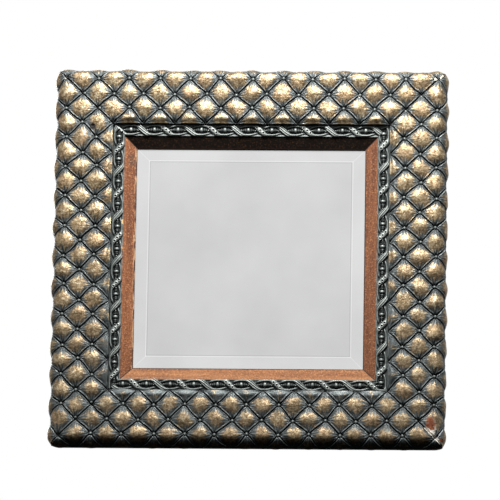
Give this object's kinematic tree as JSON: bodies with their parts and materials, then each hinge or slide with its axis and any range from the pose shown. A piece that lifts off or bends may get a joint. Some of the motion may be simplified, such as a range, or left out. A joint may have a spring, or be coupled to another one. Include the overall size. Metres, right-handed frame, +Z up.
{
  "type": "wall mirror",
  "caption": "Square wall mirror with a bevelled glass, a plain sloped liner, a ribbon and bead strip and a wide button-tufted relief frame.",
  "frame": {"origin": "centre of the flat back of the frame, in the plane that faces the wall", "axes": "+Z up, the mirror faces -Y, +Y points into the wall, +X to the right as seen from the front"},
  "size_m": [0.5932, 0.0439, 0.5932],
  "materials": {
    "rail_wood": "raw pine, stained brown on the back edge",
    "cast_relief": "cast composition with a bronze and slate metal-leaf patina",
    "cast_strip": "cast composition with a pewter patina",
    "liner_wood": "bare red-brown wood, waxed",
    "mirror": "polished plate, bevelled",
    "board": "hardboard",
    "steel": "plain",
    "zinc_steel": "zinc plated"
  },
  "bodies": {
    "frame": {"rail_core_top": "rail_wood", "quilted_facing_top": "cast_relief", "ribbon_moulding_top": "cast_strip", "sight_liner_top": "liner_wood", "rail_core_right": "rail_wood", "quilted_facing_right": "cast_relief", "ribbon_moulding_right": "cast_strip", "sight_liner_right": "liner_wood", "rail_core_bottom": "rail_wood", "quilted_facing_bottom": "cast_relief", "ribbon_moulding_bottom": "cast_strip", "sight_liner_bottom": "liner_wood", "rail_core_left": "rail_wood", "quilted_facing_left": "cast_relief", "ribbon_moulding_left": "cast_strip", "sight_liner_left": "liner_wood", "mirror_plate": "mirror", "backing_board": "board", "glazing_points": "steel", "corner_nails_top_right": "steel", "corner_nails_bottom_right": "steel", "corner_nails_bottom_left": "steel", "corner_nails_top_left": "steel", "hanger_straps": "zinc_steel", "hanger_screws": "zinc_steel"},
    "ring_left": {"hanger_ring_left": "zinc_steel"},
    "ring_right": {"hanger_ring_right": "zinc_steel"}
  },
  "joints": [
    {"name": "ring_left_hinge", "type": "hinge", "parent": "frame", "child": "ring_left", "pos_m": [-0.2329, 0.00255, 0.15], "axis": [1, 0, 0], "range_deg": [-175, 0]},
    {"name": "ring_right_hinge", "type": "hinge", "parent": "frame", "child": "ring_right", "pos_m": [0.2329, 0.00255, 0.15], "axis": [1, 0, 0], "range_deg": [-175, 0]}
  ]
}
